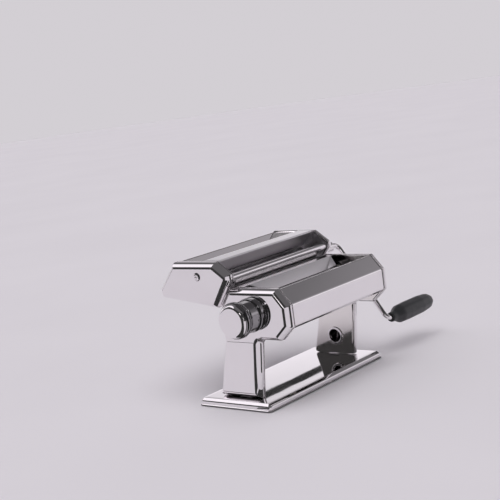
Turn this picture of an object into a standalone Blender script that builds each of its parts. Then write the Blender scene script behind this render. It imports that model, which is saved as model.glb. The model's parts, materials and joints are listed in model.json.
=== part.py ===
"""A hand-cranked pasta roller machine with a lift-off cutter attachment.

X runs along the rollers, from the thickness knob (-X) to the crank (+X).
The dough goes in at the top, between the front cover (-Y) and the feed guard.
The cutter attachment hangs on the rear (+Y), and the table top is Z = 0.
"""
import math

import bmesh
import bpy
from mathutils import Vector

UNIT = 0.001  # every size below is in millimetres

# The machine is modelled about its own centre, then moved by this much, so that
# the middle of the whole object's box stands on the world's origin.
CENTRE_SHIFT = (-41.35, -22.125, 0.0)

SHEET = 1.0  # thickness of the folded covers
WALL = 1.2  # thickness of the deep-drawn covers and of the base
GAP = 0.3  # clearance between pieces that touch

# Base plate
BASE_HALF_LENGTH = 107.1
BASE_FRONT, BASE_REAR = -36.2, 64.0
BASE_TOP = 9.1
FOOT_RADIUS = 7.0
FOOT_HEIGHT = 1.0

# Side frames: outline of head and leg in the (Y, Z) plane, with corner radii
HEAD_OUTLINE = [
    (-51.7, 129.0), (-66.0, 111.5), (-66.0, 88.7), (-49.5, 73.5), (-21.9, 73.5),
    (-13.0, BASE_TOP + GAP), (44.1, BASE_TOP + GAP), (27.5, 71.5), (27.5, 106.5), (11.6, 129.0),
]
HEAD_RADII = [3.0, 3.0, 3.0, 4.0, 6.0, 1.5, 3.0, 20.0, 3.0, 3.0]
PLATE_INNER, PLATE_OUTER = 82.0, 83.5
COVER_INSIDE = 83.8
FACE_X = 95.2
TAB_CENTRES = (2.0, 30.0)
TAB_WIDTH = 14.0
TAB_BOTTOM = 6.0
CLAMP_HOLE = (10.0, 31.3)
CLAMP_HOLE_RADIUS = 9.4

# Smooth rollers
ROLLER_RADIUS = 15.4
ROLLER_HALF_LENGTH = 75.0
WIDEST_GAP = 2.4
GAP_TRAVEL = 2.1
AXIS_Z = 105.6
FRONT_AXIS_Y = -28.7
DRIVE_AXIS_Y = FRONT_AXIS_Y + 2 * ROLLER_RADIUS + WIDEST_GAP
JOURNAL_RADIUS = 5.0
BUSH_RADIUS = 8.0
GEAR_TEETH = 20

# Thickness knob
KNOB_END = 140.8
SPINDLE_RADIUS = 4.0
SPRING_POCKET_RADIUS = 8.6

# Crank
CRANK_ARM_X = 126.5
CRANK_BEND_RADIUS = 8.0
CRANK_ROD_RADIUS = 3.0
GRIP_AXIS = (-36.1, 41.9)
GRIP_START, GRIP_END = 132.9, 223.5

# Cutter attachment
CAP_OUTLINE = [
    (25.5, 157.4), (6.7, 143.8), (6.7, 137.5), (28.4, 106.8),
    (107.4, 116.5), (110.7, 127.5), (85.9, 157.4),
]
CAP_RADII = [3.0, 3.0, 3.0, 3.0, 3.0, 4.0, 3.0]
CUTTER_PLATE_INNER, CUTTER_PLATE_OUTER = 84.6, 85.9
CAP_FACE_X = 97.6
CUTTER_RADIUS = 7.85
CUTTER_PITCH = 15.95
FINE_AXIS = (24.1, 132.0)
WIDE_AXIS = (76.0, 130.0)
CUTTER_GEAR_TEETH = 12
TIE_ROD_AXIS = (49.0, 142.2)
MOUNT_STUD_X = 79.5
FRONT_ROD_AXIS = (12.6, 138.6)
FRONT_ROD_RADIUS = 3.6
SOCKET_DEPTH_X, SOCKET_END_X = 90.0, 112.0

CHROME = ("chrome", (0.86, 0.84, 0.86), 0.08, 1.0)
STEEL = ("brushed_steel", (0.60, 0.59, 0.60), 0.30, 1.0)
PLASTIC = ("black_plastic", (0.02, 0.02, 0.02), 0.45, 0.0)
RUBBER = ("rubber", (0.05, 0.05, 0.05), 0.80, 0.0)
ALLOY = ("roller_alloy", (0.84, 0.82, 0.84), 0.10, 1.0)
NYLON = ("white_nylon", (0.80, 0.80, 0.78), 0.50, 0.0)


# ---------------------------------------------------------------- helpers

def clear_scene():
    for thing in list(bpy.data.objects):
        bpy.data.objects.remove(thing, do_unlink=True)


def material(spec):
    name, colour, roughness, metallic = spec
    found = bpy.data.materials.get(name)
    if found:
        return found
    made = bpy.data.materials.new(name)
    made.use_nodes = True
    shader = made.node_tree.nodes["Principled BSDF"]
    shader.inputs["Base Color"].default_value = (*colour, 1.0)
    shader.inputs["Roughness"].default_value = roughness
    shader.inputs["Metallic"].default_value = metallic
    return made


def add_solid(name, shape, finish, origin=(0.0, 0.0, 0.0)):
    """Make one object from (points, faces) in millimetres, with its origin at origin."""
    points, faces = shape
    centre = Vector(origin)
    mesh = bpy.data.meshes.new(name)
    mesh.from_pydata([(Vector(p) - centre) * UNIT for p in points], [], faces)
    edit = bmesh.new()
    edit.from_mesh(mesh)
    bmesh.ops.remove_doubles(edit, verts=edit.verts, dist=1e-6)
    bmesh.ops.recalc_face_normals(edit, faces=edit.faces)
    edit.to_mesh(mesh)
    edit.free()
    mesh.materials.append(material(finish))
    mesh.shade_smooth()
    mesh.set_sharp_from_angle(angle=math.radians(35))
    made = bpy.data.objects.new(name, mesh)
    bpy.context.collection.objects.link(made)
    made.parent = bpy.data.objects["machine"]
    made.location = centre * UNIT
    return made


def cut(target, shape, name):
    """Subtract a shape, given in millimetres, from an object."""
    cutter = add_solid(name, shape, STEEL)
    cutter.hide_render = True
    cutter.display_type = "WIRE"
    modifier = target.modifiers.new(name, "BOOLEAN")
    modifier.operation = "DIFFERENCE"
    modifier.object = cutter


def loft(rings, closed=False):
    """Join rings of equal length with quads, and cap the ends unless the row of rings is closed."""
    size = len(rings[0])
    points = [p for ring in rings for p in ring]
    faces = []
    last = len(rings) if closed else len(rings) - 1
    for row in range(last):
        near, far = row * size, (row + 1) % len(rings) * size
        for i in range(size):
            j = (i + 1) % size
            faces.append((near + i, near + j, far + j, far + i))
    if not closed:
        faces.append(tuple(range(size)))
        faces.append(tuple(range((len(rings) - 1) * size, len(rings) * size)))
    return points, faces


def at_x(outline, x):
    return [(x, y, z) for y, z in outline]


def prism(outline, x0, x1):
    return loft([at_x(outline, x0), at_x(outline, x1)])


def circle(centre, radius, count, start=0.0):
    """Points of a circle in the (Y, Z) plane."""
    turn = 2 * math.pi / count
    return [(centre[0] + radius * math.cos(start + i * turn),
             centre[1] + radius * math.sin(start + i * turn)) for i in range(count)]


def turned(profile, centre, count=24):
    """Turn (x, radius) pairs about the X axis through centre; the two ends are capped."""
    return loft([at_x(circle(centre, radius, count), x) for x, radius in profile])


def turned_ring(profile, centre, count=24):
    """Turn a closed (x, radius) profile that stays clear of the axis."""
    return loft([at_x(circle(centre, radius, count), x) for x, radius in profile], closed=True)


def inset(outline, distance):
    """Move each side of an anticlockwise outline inwards by distance."""
    moved = []
    count = len(outline)
    for i, point in enumerate(outline):
        here = Vector(point)
        before = (here - Vector(outline[i - 1])).normalized()
        after = (Vector(outline[(i + 1) % count]) - here).normalized()
        normal_before = Vector((-before.y, before.x))
        normal_after = Vector((-after.y, after.x))
        bisector = (normal_before + normal_after) / (1 + normal_before.dot(normal_after))
        moved.append(tuple(here + bisector * distance))
    return moved


def rounded(outline, radii, steps=3):
    """Replace each corner by an arc of steps segments."""
    made = []
    count = len(outline)
    for i, radius in enumerate(radii):
        here = Vector(outline[i])
        before = (here - Vector(outline[i - 1])).normalized()
        after = (Vector(outline[(i + 1) % count]) - here).normalized()
        turn = math.atan2(before.x * after.y - before.y * after.x, before.dot(after))
        side = 1.0 if turn > 0 else -1.0
        start = here - before * radius * math.tan(abs(turn) / 2)
        centre = start + Vector((-before.y, before.x)) * radius * side
        spoke = start - centre
        for step in range(steps + 1):
            angle = turn * step / steps
            made.append((centre.x + spoke.x * math.cos(angle) - spoke.y * math.sin(angle),
                         centre.y + spoke.x * math.sin(angle) + spoke.y * math.cos(angle)))
    return made


def inset_rounded(outline, radii, distance, steps=3):
    """Inset an outline, and shrink its outer corner radii and grow its inner ones to match."""
    count = len(outline)
    fitted = []
    for i, radius in enumerate(radii):
        before = Vector(outline[i]) - Vector(outline[i - 1])
        after = Vector(outline[(i + 1) % count]) - Vector(outline[i])
        outward = before.x * after.y - before.y * after.x > 0
        fitted.append(max(radius - distance, 0.5) if outward else radius + distance)
    return rounded(inset(outline, distance), fitted, steps)


def bent_sheet(path, thickness, x0, x1):
    """Extrude a folded sheet whose middle line is path, in the (Y, Z) plane."""
    left, right = [], []
    for i, point in enumerate(path):
        here = Vector(point)
        before = (here - Vector(path[i - 1])).normalized() if i else None
        after = (Vector(path[i + 1]) - here).normalized() if i < len(path) - 1 else None
        before = before or after
        after = after or before
        normal_before = Vector((-before.y, before.x))
        normal_after = Vector((-after.y, after.x))
        side = (normal_before + normal_after) / (1 + normal_before.dot(normal_after))
        left.append(tuple(here + side * thickness / 2))
        right.append(tuple(here - side * thickness / 2))
    return prism(left + right[::-1], x0, x1)


def trim_lips(cover, outline, plate_inner):
    """Shorten a cover's inward lips so that they fit between the side plates."""
    inside = inset(outline, 2.0)
    near = plate_inner - GAP
    for side in (-1, 1):
        cut(cover, prism(inside, side * near, side * (near + 4.0)), f"cut_{cover.name}_lips_{side}")


def drawn_cover(outline, radii, side, inside_x, face_x):
    """A deep-drawn cover: flange, side wall and bevel round a flat raised face, open at the back."""
    depth = face_x - inside_x
    outer = [(depth, 5.0), (depth - 1.6, 3.8), (depth - 5.2, 0.8), (1.8, 0.8), (1.4, 0.0), (0.0, 0.0)]
    inner = [(0.0, 2.0), (depth - 5.8, 2.0), (depth - 2.6, 4.8), (depth - WALL, 5.7)]
    rings = [at_x(inset_rounded(outline, radii, shrink), side * (inside_x + x))
             for x, shrink in outer + inner]
    return loft(rings)


def gear_outline(centre, teeth, root, tip, start):
    """Outline of a gear with straight-flanked teeth; a tooth is centred on the start angle."""
    points = []
    pitch = 2 * math.pi / teeth
    for tooth in range(teeth):
        middle = start + tooth * pitch
        for share, radius in ((-0.26, root), (-0.11, tip), (0.11, tip), (0.26, root)):
            angle = middle + share * pitch
            points.append((centre[0] + radius * math.cos(angle), centre[1] + radius * math.sin(angle)))
    return points


def gear(centre, teeth, root, tip, bore, x0, x1, start):
    outer = gear_outline(centre, teeth, root, tip, start)
    inner = circle(centre, bore, len(outer), start - 0.26 * 2 * math.pi / teeth)
    return loft([at_x(outer, x0), at_x(outer, x1), at_x(inner, x1), at_x(inner, x0)], closed=True)


def tube(route, radius, count=12):
    """Sweep a circle along a smooth route of points."""
    rings = []
    across = Vector((0.3, 0.5, 0.8))
    for i, point in enumerate(route):
        here = Vector(point)
        ahead = Vector(route[min(i + 1, len(route) - 1)]) - Vector(route[max(i - 1, 0)])
        ahead.normalize()
        across = (across - ahead * across.dot(ahead)).normalized()
        other = ahead.cross(across)
        rings.append([tuple(here + (across * math.cos(a) + other * math.sin(a)) * radius)
                      for a in (2 * math.pi * k / count for k in range(count))])
    return loft(rings)


def bend_route(corners, radius, steps=5):
    """Straight runs between corners, each corner turned with a round bend."""
    route = [Vector(corners[0])]
    for i in range(1, len(corners) - 1):
        here = Vector(corners[i])
        before = (here - Vector(corners[i - 1])).normalized()
        after = (Vector(corners[i + 1]) - here).normalized()
        turn = before.angle(after)
        start = here - before * radius * math.tan(turn / 2)
        inward = (after - before * before.dot(after)).normalized()
        for step in range(steps + 1):
            angle = turn * step / steps
            route.append(start + before * radius * math.sin(angle) + inward * radius * (1 - math.cos(angle)))
    route.append(Vector(corners[-1]))
    return route


# ---------------------------------------------------------------- base

def make_base():
    outline = [(-BASE_HALF_LENGTH, BASE_FRONT), (BASE_HALF_LENGTH, BASE_FRONT),
               (BASE_HALF_LENGTH, BASE_REAR), (-BASE_HALF_LENGTH, BASE_REAR)]
    radii = [5.0] * 4
    outer = [(4.2, BASE_TOP), (3.2, 8.4), (1.0, 6.2), (0.9, 2.6), (0.0, 2.2), (0.0, FOOT_HEIGHT)]
    inner = [(2.2, FOOT_HEIGHT), (2.3, 6.0), (4.6, BASE_TOP - WALL)]
    rings = [[(x, y, z) for x, y in inset_rounded(outline, radii, shrink)] for shrink, z in outer + inner]
    base = add_solid("base_plate", loft(rings), CHROME)
    for side in (-1, 1):
        for number, y in enumerate(TAB_CENTRES):
            half = TAB_WIDTH / 2 + GAP
            slot = [(y - half, 5.0), (y + half, 5.0), (y + half, 11.0), (y - half, 11.0)]
            x0, x1 = side * (PLATE_INNER - GAP), side * (PLATE_OUTER + GAP)
            cut(base, prism(slot, x0, x1), f"cut_base_slot_{side}_{number}")


def make_feet():
    inward = 14.0
    for end, x in (("left", -BASE_HALF_LENGTH + inward), ("right", BASE_HALF_LENGTH - inward)):
        for edge, y in (("front", BASE_FRONT + inward), ("rear", BASE_REAR - inward)):
            rings = [[(x + px, y + py, z) for px, py in circle((0, 0), radius, 20)]
                     for radius, z in ((FOOT_RADIUS - 0.6, 0.0), (FOOT_RADIUS, 0.8),
                                       (FOOT_RADIUS, BASE_TOP - WALL - GAP))]
            add_solid(f"foot_{edge}_{end}", loft(rings), RUBBER)


# ---------------------------------------------------------------- frame

def make_frame_plate(end, side):
    outline = rounded(inset(HEAD_OUTLINE, 2.3), [2.0, 2.0, 2.0, 2.0, 8.0, 0.8, 0.8, 18.0, 2.0, 2.0], 2)
    x0, x1 = side * PLATE_INNER, side * PLATE_OUTER
    plate = add_solid(f"{end}_frame_plate", with_tabs(outline, x0, x1), STEEL)
    drive_hole = circle((DRIVE_AXIS_Y, AXIS_Z), BUSH_RADIUS + GAP, 24)
    inside, outside = side * (PLATE_INNER - 1), side * (PLATE_OUTER + 1)
    cut(plate, prism(drive_hole, inside, outside), f"cut_{end}_drive_hole")
    near = circle((FRONT_AXIS_Y, AXIS_Z), BUSH_RADIUS + GAP, 24, math.pi / 2)[:13]
    far = circle((FRONT_AXIS_Y + GAP_TRAVEL, AXIS_Z), BUSH_RADIUS + GAP, 24, -math.pi / 2)[:13]
    cut(plate, prism(near + far, inside, outside), f"cut_{end}_bush_slot")
    if side > 0:
        hole = circle(CLAMP_HOLE, CLAMP_HOLE_RADIUS, 32)
        cut(plate, prism(hole, inside, outside), "cut_clamp_hole")


def with_tabs(outline, x0, x1):
    """Add the two tabs that reach down through the base plate's slots."""
    lowest = min(z for _, z in outline)
    made = []
    for i, point in enumerate(outline):
        made.append(point)
        following = outline[(i + 1) % len(outline)]
        both_low = max(point[1], following[1]) < lowest + 0.01
        if both_low and following[0] - point[0] > 5:
            for y in TAB_CENTRES:
                y0, y1 = y - TAB_WIDTH / 2, y + TAB_WIDTH / 2
                made += [(y0, lowest), (y0, TAB_BOTTOM), (y1, TAB_BOTTOM), (y1, lowest)]
    return prism(made, x0, x1)


def make_end_cover(end, side):
    shape = drawn_cover(HEAD_OUTLINE, HEAD_RADII, side, COVER_INSIDE, FACE_X)
    cover = add_solid(f"{end}_end_cover", shape, CHROME)
    hole_y = FRONT_AXIS_Y if side < 0 else DRIVE_AXIS_Y
    hole_radius = SPINDLE_RADIUS + 1.0 if side < 0 else 7.6
    hole = circle((hole_y, AXIS_Z), hole_radius, 24)
    cut(cover, prism(hole, side * (FACE_X - 3), side * (FACE_X + 2)), f"cut_{end}_shaft_hole")


def make_front_cover():
    skin = inset(HEAD_OUTLINE, 0.8 + SHEET / 2)
    path = [(-48.0, 122.0), skin[0], skin[1], skin[2], (-60.5, 86.0)]
    half = COVER_INSIDE - GAP
    cover = add_solid("front_cover", bent_sheet(path, SHEET, -half, half), CHROME)
    trim_lips(cover, HEAD_OUTLINE, PLATE_INNER)


def make_rear_cover():
    skin = inset(HEAD_OUTLINE, 0.8 + SHEET / 2)
    path = [(-1.2, skin[9][1]), skin[9], skin[8], (skin[8][0], 84.0), (21.5, 82.0)]
    half = COVER_INSIDE - GAP
    cover = add_solid("rear_cover", bent_sheet(path, SHEET, -half, half), CHROME)
    trim_lips(cover, HEAD_OUTLINE, PLATE_INNER)
    along, outward = slant_directions()
    for side in (-1, 1):
        axis = stud_point(0.0)
        hole = stud_disc(axis - outward * 3, 2.4, side), stud_disc(axis + outward * 1, 2.4, side)
        cut(cover, loft(hole), f"cut_stud_hole_{side}")


def slant_directions():
    """Unit vectors in (Y, Z) up along the head's rear slanted face and square out of it."""
    lower, upper = Vector(HEAD_OUTLINE[8]), Vector(HEAD_OUTLINE[9])
    along = (upper - lower).normalized()
    outward = Vector((along.y, -along.x))
    return along, outward


def stud_point(offset):
    """Point over the middle of the rear slanted face, offset outwards."""
    _, outward = slant_directions()
    middle = (Vector(HEAD_OUTLINE[8]) + Vector(HEAD_OUTLINE[9])) / 2
    return middle + outward * offset


def stud_disc(centre, radius, side, count=16):
    along, _ = slant_directions()
    ring = []
    for i in range(count):
        angle = 2 * math.pi * i / count
        in_plane = along * radius * math.sin(angle)
        x = side * MOUNT_STUD_X + radius * math.cos(angle)
        ring.append((x, centre.x + in_plane.x, centre.y + in_plane.y))
    return ring


def make_mount_studs():
    """Headed studs in the rear cover that the cutter attachment hooks onto."""
    for end, side in (("left", -1), ("right", 1)):
        profile = [(-3.2, 2.1), (2.2, 2.1), (2.2, 3.6), (3.2, 3.2)]
        rings = [stud_disc(stud_point(offset), radius, side) for offset, radius in profile]
        add_solid(f"mount_stud_{end}", loft(rings), STEEL)


def make_feed_guard():
    """A folded guard behind the feed opening, with an ear bent forward at each end."""
    top_y, top_z = -2.6, 129.0
    low_y, low_z = -9.3, 116.8
    top_half, low_half = 75.0, 57.0
    ear = (63.0, -18.2, 120.6)
    front = [(-top_half, top_y, top_z), (-low_half, low_y, low_z), (low_half, low_y, low_z),
             (top_half, top_y, top_z), (-ear[0], ear[1], ear[2]), ear]
    sheet = [(0, 1, 2, 3), (0, 4, 1), (3, 2, 5)]
    guard = add_solid("feed_guard", (front, sheet), CHROME)
    thicken = guard.modifiers.new("sheet", "SOLIDIFY")
    thicken.thickness = 0.8 * UNIT
    thicken.offset = 0.0
    thicken.use_even_offset = True


def make_tie_rods():
    half = PLATE_INNER - GAP
    for name, centre in (("tie_rod_front", (-48.0, 84.5)), ("tie_rod_rear", (20.5, 89.5))):
        add_solid(name, turned([(-half, 3.0), (half, 3.0)], centre, 16), STEEL)


def make_scrapers():
    """Blades that keep the dough from winding round the rollers."""
    reach = ROLLER_RADIUS + 0.9 + GAP_TRAVEL / 2
    for name, axis_y, side in (("front", FRONT_AXIS_Y, -1), ("rear", DRIVE_AXIS_Y, 1)):
        angle = math.radians(290 if side > 0 else 250)
        top = (axis_y + reach * math.cos(angle), AXIS_Z + reach * math.sin(angle))
        foot = (top[0] + side * 4.8, top[1] - 8.5)
        path = [top, foot, (foot[0] + side * 3.5, foot[1] - 1.0)]
        half = PLATE_INNER - GAP
        add_solid(f"{name}_scraper", bent_sheet(path, 0.8, -half, half), STEEL)


def make_clamp_bush():
    """A rolled rim round the hole that takes the end of a table clamp."""
    radius = CLAMP_HOLE_RADIUS - GAP
    x0, x1 = PLATE_INNER - 1.3, PLATE_OUTER + 1.0
    profile = [(x0, radius + 1.5), (x0, radius - 1.2), (x1, radius - 1.2), (x1, radius),
               (PLATE_INNER - GAP, radius), (PLATE_INNER - GAP, radius + 1.5)]
    add_solid("clamp_bush", turned_ring(profile, CLAMP_HOLE, 32), CHROME)


# ---------------------------------------------------------------- smooth rollers

def make_drive_bushes():
    for end, side in (("left", -1), ("right", 1)):
        x0, x1 = side * (PLATE_INNER - 3.0), side * (PLATE_OUTER + 0.8)
        bore = JOURNAL_RADIUS + GAP
        profile = [(x0, BUSH_RADIUS), (x0, bore), (x1, bore), (x1, BUSH_RADIUS)]
        add_solid(f"drive_bush_{end}", turned_ring(profile, (DRIVE_AXIS_Y, AXIS_Z)), NYLON)


def make_sliding_bushes():
    """The front roller's bushes, which the knob's eccentric pushes towards the rear roller."""
    centre = (FRONT_AXIS_Y, AXIS_Z)
    for end, side in (("left", -1), ("right", 1)):
        x0, x1 = side * (PLATE_INNER - 3.0), side * (PLATE_OUTER + 0.8)
        bore = JOURNAL_RADIUS + GAP
        profile = [(x0, BUSH_RADIUS), (x0, bore), (x1, bore), (x1, BUSH_RADIUS)]
        add_solid(f"sliding_bush_{end}", turned_ring(profile, centre), NYLON, (0.0, *centre))


def make_drive_roller():
    """The rear roller, whose right journal is hollow and can take the crank."""
    socket = CRANK_ROD_RADIUS + GAP
    profile = [(-86.0, JOURNAL_RADIUS), (-ROLLER_HALF_LENGTH, JOURNAL_RADIUS),
               (-ROLLER_HALF_LENGTH, ROLLER_RADIUS - 0.6), (-ROLLER_HALF_LENGTH + 0.6, ROLLER_RADIUS),
               (ROLLER_HALF_LENGTH - 0.6, ROLLER_RADIUS), (ROLLER_HALF_LENGTH, ROLLER_RADIUS - 0.6),
               (ROLLER_HALF_LENGTH, JOURNAL_RADIUS), (92.4, JOURNAL_RADIUS), (92.4, 6.8),
               (99.0, 6.8), (100.0, 6.0), (100.0, socket), (76.0, socket)]
    centre = (DRIVE_AXIS_Y, AXIS_Z)
    add_solid("drive_roller", turned(profile, centre, 40), ALLOY, (0.0, *centre))


def make_front_roller():
    profile = [(-85.6, JOURNAL_RADIUS), (-ROLLER_HALF_LENGTH, JOURNAL_RADIUS),
               (-ROLLER_HALF_LENGTH, ROLLER_RADIUS - 0.6), (-ROLLER_HALF_LENGTH + 0.6, ROLLER_RADIUS),
               (ROLLER_HALF_LENGTH - 0.6, ROLLER_RADIUS), (ROLLER_HALF_LENGTH, ROLLER_RADIUS - 0.6),
               (ROLLER_HALF_LENGTH, JOURNAL_RADIUS), (91.8, JOURNAL_RADIUS)]
    centre = (FRONT_AXIS_Y, AXIS_Z)
    add_solid("front_roller", turned(profile, centre, 40), ALLOY, (0.0, *centre))


def make_roller_gears():
    """Long-toothed gears that stay in mesh while the front roller moves in and out."""
    pitch_radius = (DRIVE_AXIS_Y - FRONT_AXIS_Y) / 2
    root, tip = pitch_radius - 2.9, pitch_radius + 0.4
    bore = JOURNAL_RADIUS + 0.05
    half_tooth = math.pi / GEAR_TEETH
    for name, y, start in (("drive_gear", DRIVE_AXIS_Y, math.pi), ("front_gear", FRONT_AXIS_Y, half_tooth)):
        shape = gear((y, AXIS_Z), GEAR_TEETH, root, tip, bore, 86.2, 89.2, start)
        add_solid(name, shape, STEEL, (0.0, y, AXIS_Z))


# ---------------------------------------------------------------- thickness knob

def make_adjuster_spindle():
    """Shaft with a cam disc behind the end cover; the knob slides on its square-cut outer end."""
    profile = [(-86.4, 9.0), (-89.6, 9.0), (-89.6, SPINDLE_RADIUS), (-127.6, SPINDLE_RADIUS)]
    centre = (FRONT_AXIS_Y, AXIS_Z)
    add_solid("adjuster_spindle", turned(profile, centre), STEEL, (0.0, *centre))


def make_spindle_screw():
    profile = [(-127.9, 7.6), (-129.4, 7.6), (-129.4, 5.4), (-132.0, 4.6)]
    centre = (FRONT_AXIS_Y, AXIS_Z)
    add_solid("spindle_screw", turned(profile, centre, 16), STEEL, (0.0, *centre))


def make_adjuster_spring():
    """Coil between the knob's inner shoulder and the screw's head."""
    turns, per_turn, wire, coil = 5, 10, 0.7, 6.2
    start, end = -113.2, -127.0
    route = []
    for step in range(turns * per_turn + 1):
        share = step / (turns * per_turn)
        angle = 2 * math.pi * turns * share
        route.append((start + (end - start) * share,
                      FRONT_AXIS_Y + coil * math.cos(angle), AXIS_Z + coil * math.sin(angle)))
    add_solid("adjuster_spring", tube(route, wire, 6), STEEL, (0.0, FRONT_AXIS_Y, AXIS_Z))


def make_adjuster_knob():
    """Grooved knob body with a spring pocket that opens outwards."""
    bore = SPINDLE_RADIUS + GAP
    profile = [(-97.4, bore), (-97.4, 17.4), (-98.4, 18.2), (-101.6, 18.2), (-102.6, 16.6), (-105.0, 16.6),
               (-106.4, 18.0), (-111.4, 18.0), (-112.8, 16.4), (-115.0, 16.4), (-116.2, 17.2), (-123.5, 17.2),
               (-127.0, 17.6), (-130.0, 19.2), (-135.6, 19.2), (-137.6, 18.7), (-137.6, SPRING_POCKET_RADIUS),
               (-112.2, SPRING_POCKET_RADIUS), (-112.2, bore)]
    centre = (FRONT_AXIS_Y, AXIS_Z)
    add_solid("adjuster_knob", turned_ring(profile, centre, 40), CHROME, (0.0, *centre))


def make_knob_cap():
    profile = [(-137.9, 18.4), (-138.9, 18.3), (-140.2, 17.6), (-KNOB_END, 16.6)]
    centre = (FRONT_AXIS_Y, AXIS_Z)
    add_solid("knob_cap", turned(profile, centre, 40), CHROME, (0.0, *centre))


def make_index_pin():
    """Pin behind the knob's rim that holds the chosen setting."""
    x0 = -(FACE_X - WALL - 1.5)
    centre = (FRONT_AXIS_Y, AXIS_Z + 13.0)
    pin = turned([(x0, 1.6), (-96.6, 1.6), (-97.1, 1.1)], centre, 12)
    add_solid("index_pin", pin, STEEL)
    hole = circle(centre, 1.6 + GAP, 12)
    cut(bpy.data.objects["left_end_cover"], prism(hole, -(FACE_X - 3), -(FACE_X + 2)), "cut_index_pin_hole")


# ---------------------------------------------------------------- crank

def make_crank():
    """Bent rod, with its shaft in the socket of the fine cutter."""
    corners = [(SOCKET_DEPTH_X + 1.0, *FINE_AXIS), (CRANK_ARM_X, *FINE_AXIS),
               (CRANK_ARM_X, *GRIP_AXIS), (GRIP_END - 8.0, *GRIP_AXIS)]
    route = bend_route(corners, CRANK_BEND_RADIUS)
    add_solid("crank_rod", tube(route, CRANK_ROD_RADIUS), CHROME, (0.0, *FINE_AXIS))


def make_grip():
    """Faceted handle that spins on the rod; its bore is blind and widens where the rod is swaged."""
    bore = CRANK_ROD_RADIUS + GAP
    profile = [(GRIP_START, bore), (GRIP_START, 5.2), (GRIP_START + 1.0, 6.0), (GRIP_START + 8.0, 6.8),
               (GRIP_START + 17.0, 10.6), (GRIP_START + 30.0, 11.4), (GRIP_START + 62.0, 11.2),
               (GRIP_START + 79.0, 9.8), (GRIP_END - 4.0, 7.8), (GRIP_END - 1.0, 4.8), (GRIP_END, 1.4),
               (GRIP_END - 3.0, 1.2), (GRIP_END - 3.6, 4.6), (GRIP_END - 11.6, 4.6), (GRIP_END - 11.8, bore)]
    add_solid("crank_grip", turned_ring(profile, GRIP_AXIS, 20), PLASTIC, (0.0, *GRIP_AXIS))


def make_grip_retainer():
    """Push-on ring that keeps the grip on the rod."""
    inner = CRANK_ROD_RADIUS + 0.1
    x0, x1 = GRIP_END - 11.2, GRIP_END - 9.6
    profile = [(x0, 4.3), (x0, inner), (x1, inner), (x1, 4.3)]
    add_solid("grip_retainer", turned_ring(profile, GRIP_AXIS, 16), STEEL, (0.0, *GRIP_AXIS))


# ---------------------------------------------------------------- cutter attachment

def cutter_axes():
    """The four cutter rollers' axes in the (Y, Z) plane, front to rear."""
    return {
        "fine_cutter_front": FINE_AXIS, "fine_cutter_rear": (FINE_AXIS[0] + CUTTER_PITCH, FINE_AXIS[1]),
        "wide_cutter_front": WIDE_AXIS, "wide_cutter_rear": (WIDE_AXIS[0] + CUTTER_PITCH, WIDE_AXIS[1]),
    }


def make_cutter_cap(end, side):
    shape = drawn_cover(CAP_OUTLINE, CAP_RADII, side, CUTTER_PLATE_OUTER + GAP, CAP_FACE_X)
    cap = add_solid(f"cutter_{end}_cap", shape, CHROME)
    near, far = side * (CAP_FACE_X - 3), side * (CAP_FACE_X + 2)
    cut(cap, prism(circle(TIE_ROD_AXIS, 2.3, 16), near, far), f"cut_{end}_cap_screw")
    if side > 0:
        for name in ("fine_cutter_front", "wide_cutter_rear"):
            hole = circle(cutter_axes()[name], 7.0 + GAP, 24)
            cut(cap, prism(hole, side * (CAP_FACE_X - 8), far), f"cut_cap_{name}")


def make_cutter_side_plate(end, side):
    outline = rounded(inset(CAP_OUTLINE, 2.3), [2.0] * 7, 2)
    x0, x1 = side * CUTTER_PLATE_INNER, side * CUTTER_PLATE_OUTER
    plate = add_solid(f"cutter_{end}_side_plate", prism(outline, x0, x1), STEEL)
    for name, centre in cutter_axes().items():
        hole = circle(centre, 3.5 + GAP, 16)
        cut(plate, prism(hole, x0 - side, x1 + side), f"cut_{end}_plate_{name}")
    screw_hole = circle(TIE_ROD_AXIS, 2.3, 16)
    cut(plate, prism(screw_hole, x0 - side, x1 + side), f"cut_{end}_plate_screw")


def make_cap_screw(end, side):
    """Screw through the cap and side plate into the tie rod's end."""
    length = [(CUTTER_PLATE_INNER + 0.2, 2.0), (CAP_FACE_X + GAP, 2.0), (CAP_FACE_X + GAP, 4.0),
              (CAP_FACE_X + 1.4, 3.2)]
    screw = add_solid(f"cap_screw_{end}", turned([(side * x, r) for x, r in length], TIE_ROD_AXIS, 16), STEEL)
    head_x = side * (CAP_FACE_X + 1.4)
    y, z = TIE_ROD_AXIS
    for name, wide, tall in (("flat", 4.2, 0.9), ("upright", 0.9, 4.2)):
        slot = [(y - wide / 2, z - tall / 2), (y + wide / 2, z - tall / 2),
                (y + wide / 2, z + tall / 2), (y - wide / 2, z + tall / 2)]
        cut(screw, prism(slot, head_x - side * 0.8, head_x + side), f"cut_{end}_{name}_slot")


def make_cutter_tie_rod():
    half = CUTTER_PLATE_INNER - GAP
    add_solid("cutter_tie_rod", turned([(-half, 3.2), (half, 3.2)], TIE_ROD_AXIS, 16), STEEL)


def make_cutter_front_rod():
    """Bright rod along the attachment's front edge."""
    half = CUTTER_PLATE_INNER - GAP
    length = [(-half, FRONT_ROD_RADIUS), (half, FRONT_ROD_RADIUS)]
    add_solid("cutter_front_rod", turned(length, FRONT_ROD_AXIS), CHROME)


def make_cutter_bridge():
    """Sheet between the two feed slots; its walls lead the dough down to each pair of cutters."""
    path = [(33.4, 143.2), (26.4, 156.9), (48.0, 156.9), (73.0, 142.0)]
    half = CUTTER_PLATE_INNER - GAP
    bridge = add_solid("cutter_bridge", bent_sheet(path, SHEET, -half, half), CHROME)
    for side in (-1, 1):
        rings = [[(side * (half + 1 - reach), y, 142.0 + height) for reach, height in notch_profile()]
                 for y in (24.0, 40.0)]
        cut(bridge, loft(rings), f"cut_bridge_notch_{side}")


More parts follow.
